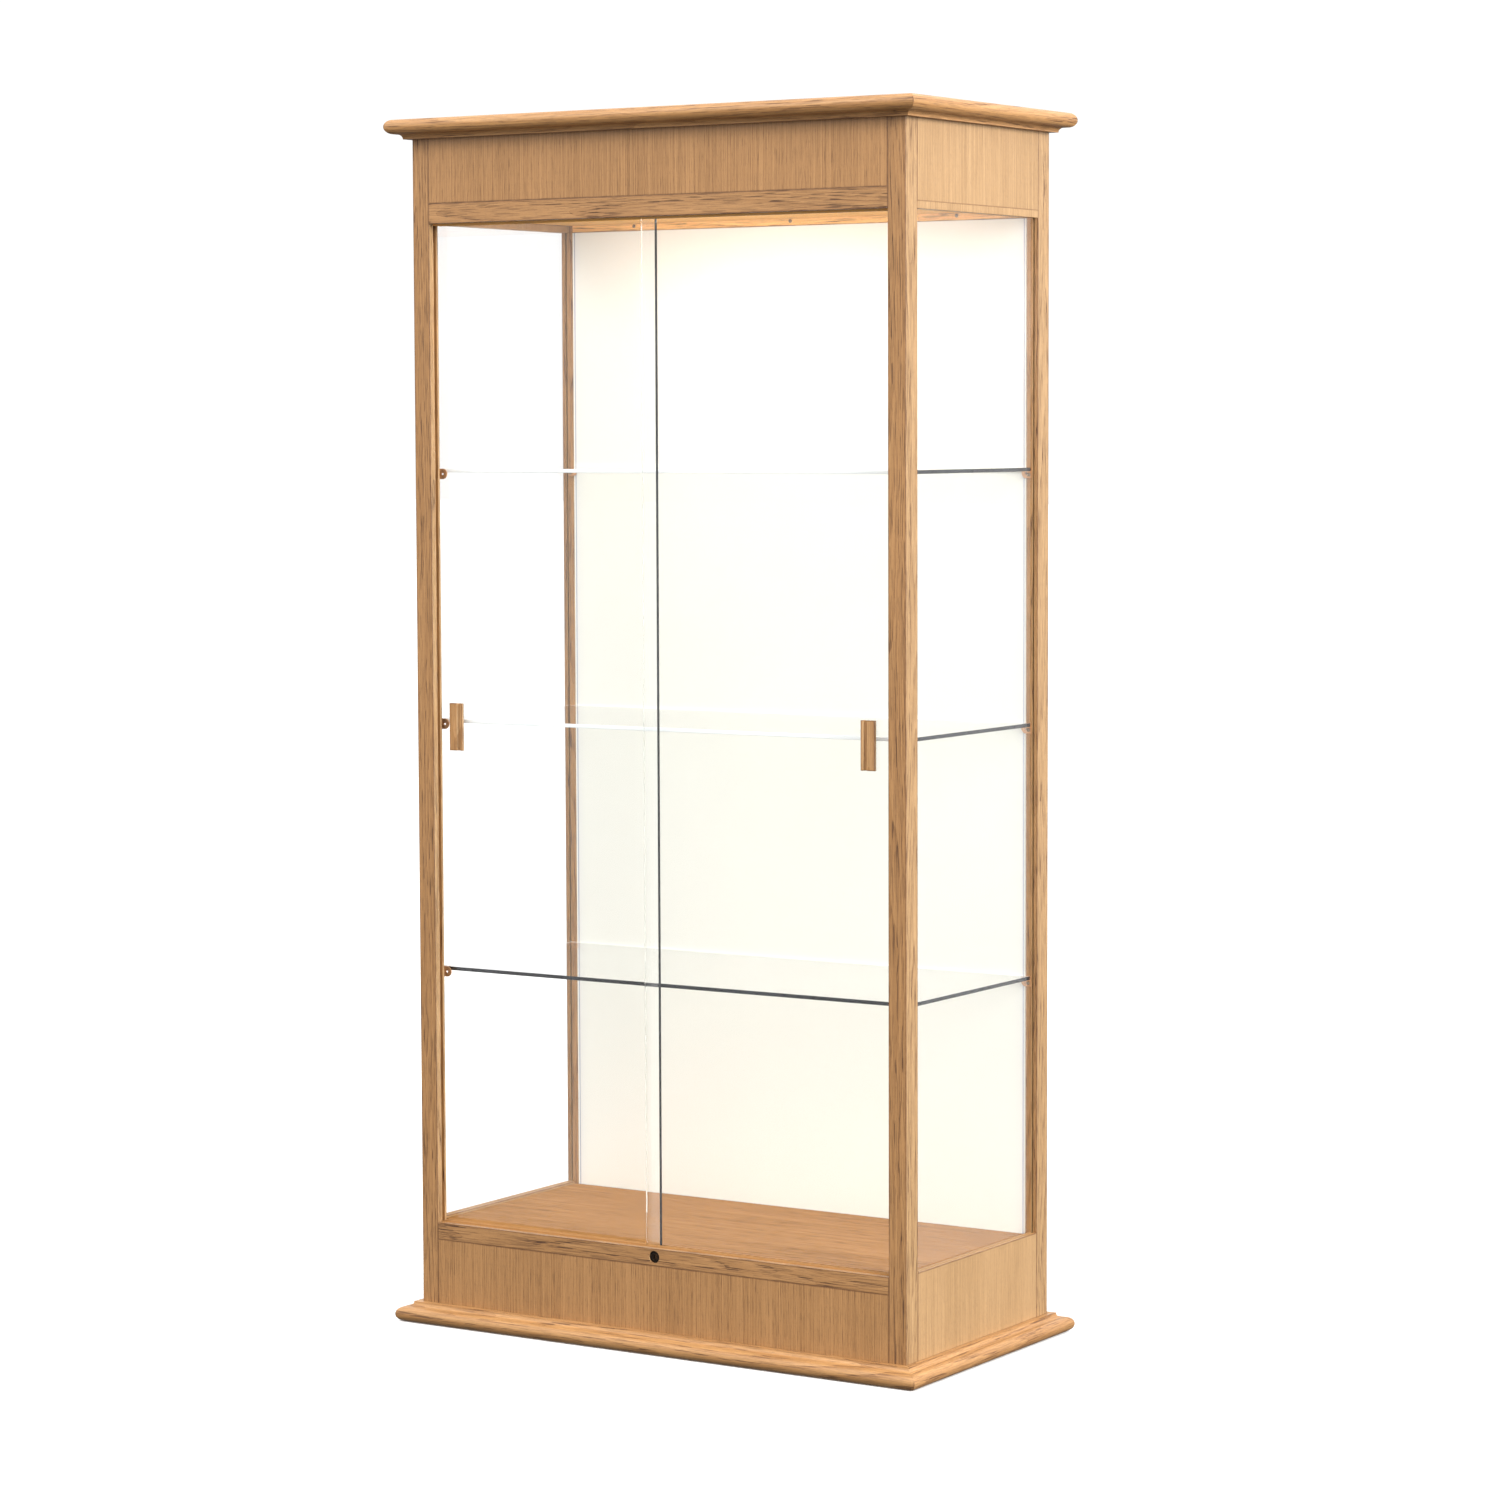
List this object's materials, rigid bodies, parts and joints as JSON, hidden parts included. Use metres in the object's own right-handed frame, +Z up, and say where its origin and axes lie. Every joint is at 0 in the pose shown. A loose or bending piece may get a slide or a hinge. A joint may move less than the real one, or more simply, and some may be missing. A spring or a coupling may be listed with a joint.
{
  "type": "display case",
  "caption": "Tall floor-standing oak and glass display case: two sliding glass doors with a key lock, glass sides, glass shelves on metal clips, white back panel, crown and base moulding.",
  "frame": {"origin": "centre of the footprint, on the floor", "axes": "+Z up, +X to the right of a person facing the doors, doors on the -Y side"},
  "size_m": [0.9856, 0.5166, 1.956],
  "materials": {
    "oak_moulding": "satin",
    "oak_post": "satin",
    "oak_rail": "satin",
    "oak_panel": "satin",
    "oak_deck": "satin",
    "white_laminate": "satin",
    "clear_glass": "polished",
    "track_plastic": "matte",
    "oak_pull": "satin",
    "lock_metal": "satin",
    "bolt_steel": "satin",
    "clip_metal": "satin",
    "screw_steel": "satin",
    "plain_timber": "matte",
    "glide_plastic": "matte",
    "light_metal": "satin",
    "frosted_plastic": "frosted",
    "led_plastic": "matte",
    "switch_plastic": "gloss",
    "inlet_plastic": "matte"
  },
  "bodies": {
    "case": {"crown_front_moulding": "oak_moulding", "crown_rear_moulding": "oak_moulding", "crown_left_moulding": "oak_moulding", "crown_right_moulding": "oak_moulding", "base_front_moulding": "oak_moulding", "base_rear_moulding": "oak_moulding", "base_left_moulding": "oak_moulding", "base_right_moulding": "oak_moulding", "left_front_post": "oak_post", "right_front_post": "oak_post", "left_rear_post": "oak_post", "right_rear_post": "oak_post", "front_top_rail": "oak_rail", "front_bottom_rail": "oak_rail", "left_top_rail": "oak_rail", "right_top_rail": "oak_rail", "rear_top_rail": "oak_rail", "rear_bottom_rail": "oak_rail", "front_fascia_panel": "oak_panel", "front_kick_panel": "oak_panel", "left_fascia_panel": "oak_panel", "right_fascia_panel": "oak_panel", "left_kick_panel": "oak_panel", "right_kick_panel": "oak_panel", "rear_fascia_panel": "oak_panel", "rear_kick_panel": "oak_panel", "deck_panel": "oak_deck", "ceiling_panel": "oak_deck", "top_panel": "oak_deck", "back_panel": "white_laminate", "left_side_glass": "clear_glass", "right_side_glass": "clear_glass", "lower_shelf": "clear_glass", "middle_shelf": "clear_glass", "upper_shelf": "clear_glass", "upper_door_track": "track_plastic", "lower_door_track": "track_plastic", "lock_barrel": "lock_metal", "front_shelf_clips": "clip_metal", "rear_shelf_clips": "clip_metal", "clip_screws": "screw_steel", "rear_rail_screws": "screw_steel", "deck_cleats": "plain_timber", "ceiling_cleats": "plain_timber", "corner_blocks": "plain_timber", "floor_glides": "glide_plastic", "light_housing": "light_metal", "light_diffuser": "frosted_plastic", "led_board": "led_plastic", "led_emitters": "led_plastic", "power_inlet": "inlet_plastic"},
    "left_door": {"left_door_glass": "clear_glass", "left_door_pull": "oak_pull"},
    "right_door": {"right_door_glass": "clear_glass", "right_door_pull": "oak_pull"},
    "lock_plug": {"lock_plug": "lock_metal"},
    "lock_bolt": {"lock_bolt": "bolt_steel"},
    "light_switch": {"light_switch_rocker": "switch_plastic"}
  },
  "joints": [
    {"name": "left_door_slide", "type": "slide", "parent": "case", "child": "left_door", "axis": [1, 0, 0], "range_m": [0, 0.44]},
    {"name": "right_door_slide", "type": "slide", "parent": "case", "child": "right_door", "axis": [-1, 0, 0], "range_m": [0, 0.408]},
    {"name": "lock_turn", "type": "hinge", "parent": "case", "child": "lock_plug", "pos_m": [-0.0031, -0.213, 0.151], "axis": [0, -1, 0], "range_deg": [0, 90]},
    {"name": "bolt_lift", "type": "slide", "parent": "case", "child": "lock_bolt", "axis": [0, 0, 1], "range_m": [0, 0.00424]},
    {"name": "switch_rock", "type": "hinge", "parent": "case", "child": "light_switch", "pos_m": [0.385, -0.169, 1.7935], "axis": [0, -1, 0], "range_deg": [0, 10]}
  ],
  "couplings": [
    {"joint": "lock_turn", "follows": "bolt_lift", "rad_per_m": 370}
  ]
}
